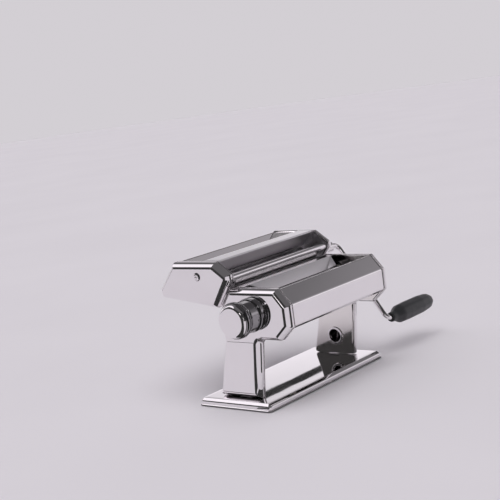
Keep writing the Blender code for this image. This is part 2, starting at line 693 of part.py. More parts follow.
def notch_profile():
    """Quarter-round notch, as (reach from the end, height above the wall's foot)."""
    steps = 6
    arc = [(11.0 * math.cos(math.pi / 2 * i / steps), 12.0 * math.sin(math.pi / 2 * i / steps))
           for i in range(steps + 1)]
    return [(0.0, -3.0), (11.0, -3.0)] + arc + [(0.0, 12.0)]


def make_cutter_rear_cover():
    skin = inset(CAP_OUTLINE, 0.8 + SHEET / 2)
    path = [(81.5, 148.0), skin[6], skin[5], skin[4], (100.5, 114.8)]
    half = CUTTER_PLATE_OUTER
    cover = add_solid("cutter_rear_cover", bent_sheet(path, SHEET, -half, half), CHROME)
    trim_lips(cover, CAP_OUTLINE, CUTTER_PLATE_INNER)


def make_cutter_mount_plate():
    """Plate that lies on the head's rear slant; open slots drop over the two studs."""
    along, outward = slant_directions()
    middle = stud_point(1.3)
    lower, upper = middle - along * 11.5, middle + along * 12.0
    half = CUTTER_PLATE_INNER - GAP
    plate = add_solid("cutter_mount_plate", bent_sheet([tuple(lower), tuple(upper)], 0.8, -half, half), STEEL)
    for side in (-1, 1):
        corners = [(-2.5, -14.0), (2.5, -14.0), (2.5, 2.6), (-2.5, 2.6)]
        rings = []
        for depth in (-3.0, 3.0):
            base = middle + outward * depth
            slot = [(x, base + along * t) for x, t in corners]
            rings.append([(side * MOUNT_STUD_X + x, point.x, point.y) for x, point in slot])
        cut(plate, loft(rings), f"cut_mount_slot_{side}")


def make_cutter_rollers():
    """Cutter rollers as plain bars of their mean radius; two of them carry a crank socket."""
    socket = CRANK_ROD_RADIUS + GAP
    for name, centre in cutter_axes().items():
        profile = [(-92.4, 3.5), (-ROLLER_HALF_LENGTH, 3.5), (-ROLLER_HALF_LENGTH, CUTTER_RADIUS),
                   (ROLLER_HALF_LENGTH, CUTTER_RADIUS), (ROLLER_HALF_LENGTH, 3.5)]
        if name in ("fine_cutter_front", "wide_cutter_rear"):
            profile += [(86.6, 3.5), (86.6, 7.0), (SOCKET_END_X - 1.0, 7.0), (SOCKET_END_X, 6.2),
                        (SOCKET_END_X, socket), (SOCKET_DEPTH_X, socket)]
        else:
            profile += [(87.4, 3.5)]
        add_solid(name, turned(profile, centre, 24), ALLOY, (0.0, *centre))


def make_cutter_gears():
    pitch_radius = CUTTER_PITCH / 2
    half_tooth = math.pi / CUTTER_GEAR_TEETH
    for name, centre in cutter_axes().items():
        start = 0.0 if name.endswith("front") else math.pi + half_tooth
        gear_name = name.replace("cutter", "gear")
        root, tip = pitch_radius - 1.3, pitch_radius + 0.5
        shape = gear(centre, CUTTER_GEAR_TEETH, root, tip, 3.55, -87.0, -90.8, start)
        add_solid(gear_name, shape, STEEL, (0.0, *centre))


def make_cutter_combs():
    """Combs below the cutters that lift the strands out of the grooves."""
    reach = CUTTER_RADIUS + 1.6
    half = CUTTER_PLATE_INNER - GAP
    for name, centre in cutter_axes().items():
        outward = -1 if name.endswith("front") else 1
        angle = math.radians(270 + 8 * outward)
        top = (centre[0] + reach * math.cos(angle), centre[1] + reach * math.sin(angle))
        foot = (top[0] - outward * 0.4, top[1] - 3.5)
        comb = bent_sheet([top, foot], 0.8, -half, half)
        add_solid(name.replace("cutter", "comb"), comb, STEEL)


# ---------------------------------------------------------------- assembly

def build():
    clear_scene()
    machine = bpy.data.objects.new("machine", None)
    bpy.context.collection.objects.link(machine)
    machine.location = Vector(CENTRE_SHIFT) * UNIT
    make_base()
    make_feet()
    for end, side in (("left", -1), ("right", 1)):
        make_frame_plate(end, side)
        make_end_cover(end, side)
        make_cutter_cap(end, side)
        make_cutter_side_plate(end, side)
        make_cap_screw(end, side)
    make_front_cover()
    make_rear_cover()
    make_mount_studs()
    make_feed_guard()
    make_tie_rods()
    make_scrapers()
    make_clamp_bush()
    make_drive_bushes()
    make_sliding_bushes()
    make_drive_roller()
    make_front_roller()
    make_roller_gears()
    make_adjuster_spindle()
    make_spindle_screw()
    make_adjuster_spring()
    make_adjuster_knob()
    make_knob_cap()
    make_index_pin()
    make_crank()
    make_grip()
    make_grip_retainer()
    make_cutter_tie_rod()
    make_cutter_front_rod()
    make_cutter_bridge()
    make_cutter_rear_cover()
    make_cutter_mount_plate()
    make_cutter_rollers()
    make_cutter_gears()
    make_cutter_combs()


build()
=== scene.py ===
"""Looks of the pasta roller machine: finer metalwork, materials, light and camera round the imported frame.

Sizes are in millimetres in the machine's own frame: X runs along the rollers with 0 midway between the side
plates, Y goes to the rear and Z up from the table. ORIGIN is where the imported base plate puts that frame.
"""
import json
import math

import bmesh
import bpy
from mathutils import Matrix, Vector


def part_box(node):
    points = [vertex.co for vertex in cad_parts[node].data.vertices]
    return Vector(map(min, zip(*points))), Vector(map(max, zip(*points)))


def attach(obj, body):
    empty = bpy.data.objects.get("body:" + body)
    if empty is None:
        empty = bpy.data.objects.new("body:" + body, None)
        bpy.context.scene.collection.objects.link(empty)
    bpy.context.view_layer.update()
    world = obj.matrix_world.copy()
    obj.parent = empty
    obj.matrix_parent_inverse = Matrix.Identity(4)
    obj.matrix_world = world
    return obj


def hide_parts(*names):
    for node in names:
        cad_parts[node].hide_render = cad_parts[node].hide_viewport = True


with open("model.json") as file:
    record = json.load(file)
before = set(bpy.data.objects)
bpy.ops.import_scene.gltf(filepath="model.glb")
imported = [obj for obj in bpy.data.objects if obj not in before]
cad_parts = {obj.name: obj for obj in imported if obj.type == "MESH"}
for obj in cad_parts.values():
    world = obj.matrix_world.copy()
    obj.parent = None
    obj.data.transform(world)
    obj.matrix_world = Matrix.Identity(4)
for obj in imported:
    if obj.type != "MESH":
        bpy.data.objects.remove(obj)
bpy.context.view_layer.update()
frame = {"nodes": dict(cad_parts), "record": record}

MM = 0.001

# Base plate
BASE_FRONT, BASE_REAR, BASE_TOP = -36.2, 64.0, 9.1
BASE_LOW, BASE_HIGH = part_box("base_plate")
BASE_HALF_LENGTH = (BASE_HIGH.x - BASE_LOW.x) / 2 / MM
ORIGIN = Vector(((BASE_LOW.x + BASE_HIGH.x) / 2, BASE_LOW.y - BASE_FRONT * MM, 0.0))

# Outlines of the end covers and of the cutter's caps in the (Y, Z) plane, with the radii of their corners
HEAD_OUTLINE = [
    (-51.7, 129.0), (-66.0, 111.5), (-66.0, 88.7), (-49.5, 73.5), (-21.9, 73.5),
    (-13.0, BASE_TOP + 0.3), (44.1, BASE_TOP + 0.3), (27.5, 71.5), (27.5, 106.5), (11.6, 129.0),
]
HEAD_RADII = [3.0, 3.0, 3.0, 4.0, 6.0, 1.5, 3.0, 20.0, 3.0, 3.0]
CAP_OUTLINE = [
    (25.5, 157.4), (6.7, 143.8), (6.7, 137.5), (28.4, 106.8),
    (107.4, 116.5), (110.7, 127.5), (85.9, 157.4),
]
CAP_RADII = [3.0, 3.0, 3.0, 3.0, 3.0, 4.0, 3.0]
LEG_SEAM_Z = 71.6

# Sheets and rollers: thickness, how far sheets lie inside the covers' outline, where the inner faces of
# the side plates are, and half lengths
SHEET, RIM_LAP = 1.0, 0.8
PLATE_INNER, CUTTER_PLATE_INNER = 81.7, 84.3
HEAD_SHEET_HALF = 83.5
ROLLER_HALF = 75.0


def machine(point):
    """A world point in the machine's millimetres."""
    return (Vector(point) - ORIGIN) / MM


def limits(node):
    low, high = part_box(node)
    return machine(low), machine(high)


def axis_of(node):
    """(Y, Z) of a turned node's axis."""
    low, high = limits(node)
    return (low.y + high.y) / 2, (low.z + high.z) / 2


# ---------------------------------------------------------------- shapes

def loft(rings, closed=False):
    """Join rings of equal length with quads, and cap the ends unless the row of rings is closed."""
    size = len(rings[0])
    points = [p for ring in rings for p in ring]
    faces = []
    last = len(rings) if closed else len(rings) - 1
    for row in range(last):
        near, far = row * size, (row + 1) % len(rings) * size
        for i in range(size):
            j = (i + 1) % size
            faces.append((near + i, near + j, far + j, far + i))
    if not closed:
        faces.append(tuple(range(size)))
        faces.append(tuple(range((len(rings) - 1) * size, len(rings) * size)))
    return points, faces


def at_x(outline, x):
    """A (Y, Z) outline as points at one X."""
    return [(x, y, z) for y, z in outline]


def circle(centre, radius, count):
    turn = 2 * math.pi / count
    return [(centre[0] + radius * math.cos(i * turn), centre[1] + radius * math.sin(i * turn))
            for i in range(count)]


def turned(profile, centre, count=96):
    """Turn (x, radius) pairs about the X axis through centre; the ends are capped."""
    return loft([at_x(circle(centre, radius, count), x) for x, radius in profile])


def turned_ring(profile, centre, count=96):
    """Turn a closed (x, radius) profile about the X axis through centre."""
    return loft([at_x(circle(centre, radius, count), x) for x, radius in profile], closed=True)


def soften(profile, radius, steps=4, closed=False):
    """Round each corner of a 2-D profile with a short curve that starts radius away from it."""
    made = []
    count = len(profile)
    for i, corner in enumerate(profile):
        here = Vector(corner)
        if not closed and i in (0, count - 1):
            made.append(tuple(here))
            continue
        before, after = Vector(profile[i - 1]) - here, Vector(profile[(i + 1) % count]) - here
        room_before = 0.9 if i == 1 and not closed else 0.45
        reach = min(radius, before.length * room_before, after.length * 0.45)
        start, end = here + before.normalized() * reach, here + after.normalized() * reach
        for step in range(steps + 1):
            t = step / steps
            made.append(tuple(start * (1 - t) ** 2 + here * 2 * t * (1 - t) + end * t ** 2))
    return made


def inset(outline, distance):
    """Move each side of an anticlockwise outline inwards by distance."""
    moved = []
    count = len(outline)
    for i, point in enumerate(outline):
        here = Vector(point)
        before = (here - Vector(outline[i - 1])).normalized()
        after = (Vector(outline[(i + 1) % count]) - here).normalized()
        normal_before = Vector((-before.y, before.x))
        normal_after = Vector((-after.y, after.x))
        bisector = (normal_before + normal_after) / (1 + normal_before.dot(normal_after))
        moved.append(tuple(here + bisector * distance))
    return moved


def rounded(outline, radii, steps=8):
    """Replace each corner by an arc."""
    made = []
    count = len(outline)
    for i, radius in enumerate(radii):
        here = Vector(outline[i])
        before = (here - Vector(outline[i - 1])).normalized()
        after = (Vector(outline[(i + 1) % count]) - here).normalized()
        turn = math.atan2(before.x * after.y - before.y * after.x, before.dot(after))
        side = 1.0 if turn > 0 else -1.0
        start = here - before * radius * math.tan(abs(turn) / 2)
        centre = start + Vector((-before.y, before.x)) * radius * side
        spoke = start - centre
        for step in range(steps + 1):
            angle = turn * step / steps
            made.append((centre.x + spoke.x * math.cos(angle) - spoke.y * math.sin(angle),
                         centre.y + spoke.x * math.sin(angle) + spoke.y * math.cos(angle)))
    return made


def inset_rounded(outline, radii, distance, steps=8, least_radius=0.15):
    """Inset outline whose outward corners get tighter by the inset and whose inward corners get wider."""
    count = len(outline)
    fitted = []
    for i, radius in enumerate(radii):
        before = Vector(outline[i]) - Vector(outline[i - 1])
        after = Vector(outline[(i + 1) % count]) - Vector(outline[i])
        outward = before.x * after.y - before.y * after.x > 0
        fitted.append(max(radius - distance, least_radius) if outward else radius + distance)
    return rounded(inset(outline, distance), fitted, steps)


def bent_sheet(path, half_length, fold=1.6):
    """Sheet along X whose middle line is path, with rounded folds."""
    line = [Vector(p) for p in soften(path, fold, 6)]
    left, right = [], []
    for i, here in enumerate(line):
        before = (here - line[i - 1]).normalized() if i else (line[1] - line[0]).normalized()
        after = (line[i + 1] - here).normalized() if i < len(line) - 1 else before
        along = (before + after).normalized()
        side = Vector((-along.y, along.x)) * SHEET / 2
        left.append(tuple(here + side))
        right.append(tuple(here - side))
    outline = left + right[::-1]
    return loft([at_x(outline, -half_length), at_x(outline, half_length)])


def tube(route, radius, count=32):
    """Sweep a circle along a smooth route of points."""
    rings = []
    across = Vector((0.3, 0.5, 0.8))
    for i, point in enumerate(route):
        here = Vector(point)
        ahead = Vector(route[min(i + 1, len(route) - 1)]) - Vector(route[max(i - 1, 0)])
        ahead.normalize()
        across = (across - ahead * across.dot(ahead)).normalized()
        other = ahead.cross(across)
        rings.append([tuple(here + (across * math.cos(a) + other * math.sin(a)) * radius)
                      for a in (2 * math.pi * k / count for k in range(count))])
    return loft(rings)


def bend_route(corners, radius, steps=14):
    """Points along a rod bent at each inner corner."""
    route = [Vector(corners[0])]
    for i in range(1, len(corners) - 1):
        here = Vector(corners[i])
        before = (here - Vector(corners[i - 1])).normalized()
        after = (Vector(corners[i + 1]) - here).normalized()
        turn = before.angle(after)
        start = here - before * radius * math.tan(turn / 2)
        inward = (after - before * before.dot(after)).normalized()
        for step in range(steps + 1):
            angle = turn * step / steps
            forward, sideways = math.sin(angle), 1 - math.cos(angle)
            route.append(start + before * radius * forward + inward * radius * sideways)
    route.append(Vector(corners[-1]))
    return route


# ---------------------------------------------------------------- materials

class Nodes:
    """Small helper for building a material's node tree."""

    def __init__(self, name):
        self.material = bpy.data.materials.new(name)
        self.material.use_nodes = True
        self.tree = self.material.node_tree
        self.shader = self.tree.nodes["Principled BSDF"]
        self.place = self.add("ShaderNodeTexCoord").outputs["Object"]

    def add(self, kind, **settings):
        node = self.tree.nodes.new(kind)
        for key, value in settings.items():
            if key in node.inputs:
                node.inputs[key].default_value = value
            else:
                setattr(node, key, value)
        return node

    def link(self, source, target):
        self.tree.links.new(source, target)

    def scaled(self, scale):
        mapping = self.add("ShaderNodeMapping")
        mapping.inputs["Scale"].default_value = scale
        self.link(self.place, mapping.inputs["Vector"])
        return mapping.outputs["Vector"]

    def noise(self, scale, detail=3.0, stretch=(1, 1, 1)):
        noise = self.add("ShaderNodeTexNoise", Scale=scale, Detail=detail)
        self.link(self.scaled(stretch), noise.inputs["Vector"])
        return noise.outputs["Fac"]

    def ramp(self, source, *stops):
        ramp = self.add("ShaderNodeValToRGB")
        elements = ramp.color_ramp.elements
        while len(elements) < len(stops):
            elements.new(0.5)
        for element, (position, colour) in zip(elements, stops):
            element.position = position
            element.color = (*colour, 1.0)
        self.link(source, ramp.inputs["Fac"])
        return ramp.outputs["Color"]

    def span(self, source, low, high):
        spread = self.add("ShaderNodeMapRange")
        spread.inputs["To Min"].default_value = low
        spread.inputs["To Max"].default_value = high
        self.link(source, spread.inputs["Value"])
        return spread.outputs["Result"]

    def bump(self, source, strength, distance):
        bump = self.add("ShaderNodeBump", Strength=strength, Distance=distance)
        self.link(source, bump.inputs["Height"])
        self.link(bump.outputs["Normal"], self.shader.inputs["Normal"])


def make_chrome():
    """Bright plating: faint smudges in its gloss, and a hair of waviness from the pressing."""
    made = Nodes("polished_chrome")
    made.shader.inputs["Metallic"].default_value = 1.0
    smudges = made.noise(45.0, 4.0)
    made.link(made.span(smudges, 0.015, 0.045), made.shader.inputs["Roughness"])
    tint = made.ramp(made.noise(18.0, 2.0), (0.3, (0.90, 0.875, 0.89)), (0.7, (0.93, 0.905, 0.92)))
    made.link(tint, made.shader.inputs["Base Color"])
    made.bump(made.noise(28.0, 1.0), 0.05, 0.0006)
    return made.material


def make_satin():
    """Satin plated sheet round the feed slots, with a faint grain along the rollers."""
    made = Nodes("satin_plated_sheet")
    made.shader.inputs["Metallic"].default_value = 1.0
    grain = made.noise(700.0, 2.0, (0.05, 1, 1))
    made.link(made.span(grain, 0.30, 0.35), made.shader.inputs["Roughness"])
    tint = made.ramp(made.noise(18.0, 2.0), (0.3, (0.86, 0.84, 0.86)), (0.7, (0.90, 0.88, 0.90)))
    made.link(tint, made.shader.inputs["Base Color"])
    made.bump(grain, 0.02, 0.0002)
    return made.material


def make_bright_steel():
    """Bright steel of the side plates, with long faint streaks."""
    made = Nodes("bright_steel")
    made.shader.inputs["Metallic"].default_value = 1.0
    streaks = made.noise(500.0, 2.0, (1, 1, 0.05))
    made.link(made.span(streaks, 0.07, 0.13), made.shader.inputs["Roughness"])
    tint = made.ramp(made.noise(25.0, 2.0), (0.3, (0.84, 0.81, 0.80)), (0.7, (0.88, 0.85, 0.83)))
    made.link(tint, made.shader.inputs["Base Color"])
    made.bump(streaks, 0.04, 0.0002)
    return made.material


def make_alloy():
    """Bright plated alloy of the rollers, with a faint grain from the turning."""
    made = Nodes("bright_plated_alloy")
    made.shader.inputs["Metallic"].default_value = 1.0
    rings = made.noise(1600.0, 2.0, (1, 0.02, 0.02))
    made.link(made.span(rings, 0.08, 0.16), made.shader.inputs["Roughness"])
    tint = made.ramp(made.noise(22.0, 2.0), (0.3, (0.80, 0.78, 0.79)), (0.7, (0.85, 0.83, 0.84)))
    made.link(tint, made.shader.inputs["Base Color"])
    made.bump(rings, 0.06, 0.0002)
    return made.material


def make_shaded_chrome():
    """Chrome with painted shade for the knob's body: a darker copy of the plating, with faint turning marks.
    """
    made = Nodes("chrome_painted_shade")
    made.shader.inputs["Metallic"].default_value = 1.0
    marks = made.noise(900.0, 2.0, (1, 0.03, 0.03))
    made.link(made.span(marks, 0.04, 0.10), made.shader.inputs["Roughness"])
    # the low tint is painted shade, so the knob's body reads darker than the same chrome beside it
    tint = made.ramp(made.noise(30.0, 2.0), (0.3, (0.30, 0.29, 0.30)), (0.7, (0.34, 0.33, 0.34)))
    made.link(tint, made.shader.inputs["Base Color"])
    made.bump(marks, 0.04, 0.0002)
    return made.material


def make_steel():
    """Plain pressed steel with a fine grain along the rollers."""
    made = Nodes("grained_steel")
    made.shader.inputs["Metallic"].default_value = 1.0
    grain = made.noise(900.0, 2.0, (0.04, 1, 1))
    made.link(made.span(grain, 0.22, 0.38), made.shader.inputs["Roughness"])
    tint = made.ramp(made.noise(30.0, 3.0), (0.3, (0.50, 0.49, 0.50)), (0.7, (0.60, 0.59, 0.60)))
    made.link(tint, made.shader.inputs["Base Color"])
    made.bump(grain, 0.12, 0.0002)
    return made.material


def make_plastic():
    """Black moulded plastic with a fine grain and slightly worn gloss."""
    made = Nodes("black_moulded_plastic")
    tint = made.ramp(made.noise(60.0, 3.0), (0.3, (0.018, 0.019, 0.021)), (0.7, (0.030, 0.031, 0.034)))
    made.link(tint, made.shader.inputs["Base Color"])
    made.link(made.span(made.noise(150.0, 4.0), 0.33, 0.48), made.shader.inputs["Roughness"])
    made.bump(made.noise(1400.0, 2.0), 0.15, 0.0003)
    return made.material


def make_rubber():
    """Dull dark rubber of the feet."""
    made = Nodes("dark_rubber")
    tint = made.ramp(made.noise(80.0, 3.0), (0.3, (0.035, 0.035, 0.035)), (0.7, (0.06, 0.06, 0.06)))
    made.link(tint, made.shader.inputs["Base Color"])
    made.link(made.span(made.noise(300.0), 0.7, 0.9), made.shader.inputs["Roughness"])
    made.bump(made.noise(700.0), 0.3, 0.0004)
    return made.material


def make_nylon():
    """Slightly translucent white nylon."""
    made = Nodes("white_nylon_satin")
    tint = made.ramp(made.noise(60.0, 3.0), (0.3, (0.72, 0.71, 0.68)), (0.7, (0.80, 0.79, 0.76)))
    made.link(tint, made.shader.inputs["Base Color"])
    made.link(made.span(made.noise(200.0), 0.4, 0.55), made.shader.inputs["Roughness"])
    made.shader.inputs["Subsurface Weight"].default_value = 0.05
    return made.material


CHROME, SHADED_CHROME, SATIN, ALLOY = make_chrome(), make_shaded_chrome(), make_satin(), make_alloy()
STEEL, BRIGHT_STEEL = make_steel(), make_bright_steel()
PLASTIC, RUBBER, NYLON = make_plastic(), make_rubber(), make_nylon()
# A CAD node that stays gets the last finish of its slot, apart from the frame's side plates
SLOTS = {
    SATIN: "chrome", SHADED_CHROME: "chrome", CHROME: "chrome", ALLOY: "roller_alloy",
    BRIGHT_STEEL: "brushed_steel", STEEL: "brushed_steel",
    PLASTIC: "black_plastic", RUBBER: "rubber", NYLON: "white_nylon",
}


# ---------------------------------------------------------------- pieces

SHARP_EDGE = 32


def body_of(node):
    for body, members in frame["record"]["behaviour"]["bodies"].items():
        if node in members:
            return body


def mesh_from(name, shape):
    """Mesh of a shape in millimetres, placed in the world."""
    points, faces = shape
    mesh = bpy.data.meshes.new(name)
    mesh.from_pydata([Vector(point) * MM + ORIGIN for point in points], [], faces)
    return mesh


def rework(mesh, *steps):
    """Run edits on a mesh, each a function of its bmesh."""
    work = bmesh.new()
    work.from_mesh(mesh)
    for step in steps:
        step(work)
    work.to_mesh(mesh)
    work.free()


def merge_doubles(work):
    bmesh.ops.remove_doubles(work, verts=work.verts, dist=1e-7)


def clean_cut(work):
    """Take out the slivers that a cut leaves."""
    bmesh.ops.remove_doubles(work, verts=work.verts, dist=2e-6)
    bmesh.ops.dissolve_degenerate(work, edges=work.edges, dist=2e-6)


def face_outwards(work):
    bmesh.ops.recalc_face_normals(work, faces=work.faces)


def add_object(name, data):
    """Put a mesh, a lamp or a camera in the scene."""
    made = bpy.data.objects.new(name, data)
    bpy.context.collection.objects.link(made)
    return made


def keep_flats(piece):
    """Shade large faces flat and only the roundings between them smooth."""
    flats = piece.modifiers.new("flat faces stay flat", "WEIGHTED_NORMAL")
    flats.keep_sharp = True
    flats.weight = 90


def add_piece(name, shape, finish, node, sharp=SHARP_EDGE, edits=()):
    """Make one piece from a shape in millimetres; it rides with the CAD node that it stands for."""
    mesh = mesh_from(name, shape)
    rework(mesh, merge_doubles, face_outwards, *edits)
    mesh.materials.append(finish)
    mesh.shade_smooth()
    mesh.set_sharp_from_angle(angle=math.radians(sharp))
    made = add_object(name, mesh)
    keep_flats(made)
    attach(made, body_of(node))
    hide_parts(node)
    return made


def drill(target, shape, name):
    """Cut a hole, given as a shape in millimetres, and keep only the result."""
    mesh = mesh_from(name, shape)
    rework(mesh, face_outwards)
    cutter = add_object(name, mesh)
    target.modifiers.clear()
    modifier = target.modifiers.new(name, "BOOLEAN")
    modifier.operation = "DIFFERENCE"
    modifier.object = cutter
    bpy.context.view_layer.update()
    graph = bpy.context.evaluated_depsgraph_get()
    result = bpy.data.meshes.new_from_object(target.evaluated_get(graph))
    target.modifiers.remove(modifier)
    rework(result, clean_cut)
    target.data = result
    result.set_sharp_from_angle(angle=math.radians(SHARP_EDGE))
    bpy.data.objects.remove(cutter)
    keep_flats(target)


def drill_round(target, face_x, side, centre, radius, name, depth=3.0, count=64):
    """Drill a round hole along X through a cover's face."""
    drill(target, turned([(face_x - side * depth, radius), (face_x + side * 2, radius)], centre, count), name)


def cover_profile(depth):
    """(height, inset) along a drawn cover's section: face, rounded bevel, side wall, groove and bead."""
    outside = [(depth, 7.4), (depth, 5.2), (depth - 3.0, 2.3), (5.2, 0.4), (2.2, 0.25), (2.0, 1.3),
               (1.3, 1.3), (1.1, 0.05), (0.3, 0.0), (0.0, 0.8)]
    inside = [(0.0, 2.0), (depth - 5.8, 2.0), (depth - 2.6, 4.8), (depth - 1.2, 6.0)]
    return soften(outside, 2.2, 8) + inside


def press_seam(height, face_x, side):
    """Edit that presses a shallow line across a cover's face where the leg joins the head."""
    depth, near = 0.22 * MM, 0.05 * MM

    def press(work):
        middle = height * MM
        for offset in (-0.9, -0.35, 0.0, 0.35, 0.9):  # the cuts beside the line keep it narrow
            bmesh.ops.bisect_plane(work, geom=[*work.faces, *work.edges, *work.verts],
                                   plane_co=(0, 0, middle + offset * MM), plane_no=(0, 0, 1))
        face = ORIGIN.x + face_x * MM
        for vert in work.verts:
            if abs(vert.co.x - face) < near and abs(vert.co.z - middle) < near:
                vert.co.x -= side * depth
    return press


def faces_of(node, side):
    """X of a node's inner and outer face, at the left (-1) or right (1) end."""
    low, high = limits(node)
    return (low.x, high.x) if side > 0 else (high.x, low.x)


def make_drawn_cover(node, outline, radii, side, *edits):
    """Skin of an end cover or a cap, its outline inset along the drawn section."""
    inside_x, face_x = faces_of(node, side)
    depth = abs(face_x - inside_x)
    rings = [at_x(inset_rounded(outline, radii, shrink), inside_x + side * x)
             for x, shrink in cover_profile(depth)]
    return add_piece(node + "_skin", loft(rings), CHROME, node, sharp=40, edits=edits)


def make_end_covers():
    """Covers of head and legs, with holes for the knob's shaft and pin, or for the crank socket."""
    spindle_hole, pin_hole, socket_hole = 5.0, 1.9, 7.6
    for end, side in (("left", -1), ("right", 1)):
        node = f"{end}_end_cover"
        face_x = faces_of(node, side)[1]
        seam = press_seam(LEG_SEAM_Z, face_x, side)
        cover = make_drawn_cover(node, HEAD_OUTLINE, HEAD_RADII, side, seam, face_outwards)
        if side < 0:
            drill_round(cover, face_x, side, axis_of("front_roller"), spindle_hole, "cover_hole")
            drill_round(cover, face_x, side, axis_of("index_pin"), pin_hole, "pin_hole", count=32)
        else:
            drill_round(cover, face_x, side, axis_of("drive_roller"), socket_hole, "cover_hole")


def make_cutter_caps():
    """Caps of the cutter attachment: a screw's seat in each, and two socket holes in the right one."""
    seat_radius, socket_hole, through = 4.6, 7.3, 8.0
    for end, side in (("left", -1), ("right", 1)):
        node = f"cutter_{end}_cap"
        face_x = faces_of(node, side)[1]
        cap = make_drawn_cover(node, CAP_OUTLINE, CAP_RADII, side)
        drill_round(cap, face_x, side, axis_of("cutter_tie_rod"), seat_radius, "screw_seat", through)
        if side > 0:
            for cutter in ("fine_cutter_front", "wide_cutter_rear"):
                drill_round(cap, face_x, side, axis_of(cutter), socket_hole, "socket_hole", through)


def make_base():
    """Pressed base with a bevelled, flanged rim, and a slot for each tab of the side plates."""
    outline = [(-BASE_HALF_LENGTH, BASE_FRONT), (BASE_HALF_LENGTH, BASE_FRONT),
               (BASE_HALF_LENGTH, BASE_REAR), (-BASE_HALF_LENGTH, BASE_REAR)]
    radii = [5.0] * 4
    profile = [
        (9.0, BASE_TOP), (4.9, BASE_TOP), (4.5, 9.0), (4.15, 8.8), (3.8, 8.5), (1.9, 6.9), (1.45, 6.45),
        (1.15, 5.9), (1.0, 5.2), (0.95, 3.2), (0.9, 2.7), (0.65, 2.4), (0.3, 2.25), (0.05, 2.0),
        (0.0, 1.6), (0.1, 1.15), (0.4, 1.0), (2.2, 1.0), (2.3, 6.0), (4.6, 7.9),
    ]
    rings = [[(x, y, z) for x, y in inset_rounded(outline, radii, shrink)] for shrink, z in profile]
    base = add_piece("base_plate_skin", loft(rings), CHROME, "base_plate", sharp=40)
    tab_middles, half_slot, slot_width = (2.0, 30.0), 7.3, 2.1
    low, high = 5.0, 11.0
    for side in (-1, 1):
        for middle in tab_middles:
            front, rear = middle - half_slot, middle + half_slot
            slot = [(front, low), (rear, low), (rear, high), (front, high)]
            sides = [at_x(slot, side * x) for x in (PLATE_INNER, PLATE_INNER + slot_width)]
            drill(base, loft(sides), "tab_slot")


def make_head_sheets():
    """Folded sheets in front of the rollers and behind them, with their free edges turned in."""
    skin = inset(HEAD_OUTLINE, RIM_LAP + SHEET / 2)
    front = [(-48.0, 122.0), skin[0], skin[1], skin[2], (-60.5, 86.0)]
    rear = [(-1.2, skin[9][1]), skin[9], skin[8], (skin[8][0], 84.0), (21.5, 82.0)]
    for node, path in (("front_cover", front), ("rear_cover", rear)):
        add_piece(node + "_skin", bent_sheet(path, HEAD_SHEET_HALF), CHROME, node, sharp=40)


def make_feed_guard():
    """Slanting sheet behind the feed opening, narrower below, with an ear bent forward at each end."""
    top_y, top_z = -2.6, 129.0
    low_y, low_z = -9.3, 116.8
    top_half, low_half = 75.0, 57.0
    ear = (63.0, -18.2, 120.6)
    front = [(-top_half, top_y, top_z), (-low_half, low_y, low_z), (low_half, low_y, low_z),
             (top_half, top_y, top_z), (-ear[0], ear[1], ear[2]), ear]
    sheet = front, [(0, 1, 2, 3), (0, 4, 1), (3, 2, 5)]
    guard = add_piece("feed_guard_skin", sheet, SATIN, "feed_guard", sharp=20)
    guard.modifiers.clear()
    fold = guard.modifiers.new("fold", "BEVEL")
    fold.width = 0.5 * MM
    fold.segments = 3
    thicken = guard.modifiers.new("sheet", "SOLIDIFY")
    thicken.thickness = 0.8 * MM
    thicken.offset = 0.0
    keep_flats(guard)


def make_clamp_bush():
    """Rolled rim of the clamp hole."""
    low, high = limits("clamp_bush")
    radius = 9.1
    profile = [(low.x, radius + 1.5), (low.x, radius - 1.2), (high.x, radius - 1.2), (high.x, radius),
               (PLATE_INNER, radius), (PLATE_INNER, radius + 1.5)]
    ring = turned_ring(soften(profile, 0.6, 4, closed=True), axis_of("clamp_bush"), 96)
    add_piece("clamp_bush_skin", ring, CHROME, "clamp_bush", sharp=50)


def make_smooth_rollers():
    """The two rollers, with rounded rims; the drive roller's right end is a crank socket."""
    radius, journal, half = 15.4, 5.0, ROLLER_HALF
    drum = [(-half, journal), (-half, radius - 0.7), (-half + 0.2, radius - 0.25), (-half + 0.7, radius),
            (half - 0.7, radius), (half - 0.2, radius - 0.25), (half, radius - 0.7), (half, journal)]
    low, high = limits("drive_roller")
    socket = [(92.4, journal), (92.4, 6.8), (high.x - 1.2, 6.8), (high.x - 0.6, 6.55), (high.x, 5.9),
              (high.x, 3.8), (high.x - 0.4, 3.3), (76.0, 3.3)]
    drive = [(low.x, journal)] + drum + socket
    add_piece("drive_roller_skin", turned(drive, axis_of("drive_roller"), 128), ALLOY, "drive_roller")
    low, high = limits("front_roller")
    front = [(low.x, journal)] + drum + [(high.x, journal)]
    add_piece("front_roller_skin", turned(front, axis_of("front_roller"), 128), ALLOY, "front_roller")


def keep_out_of_reflections(*pieces):
    """The left cover's face stays clean beside the knob."""
    for piece in pieces:
        piece.visible_glossy = False


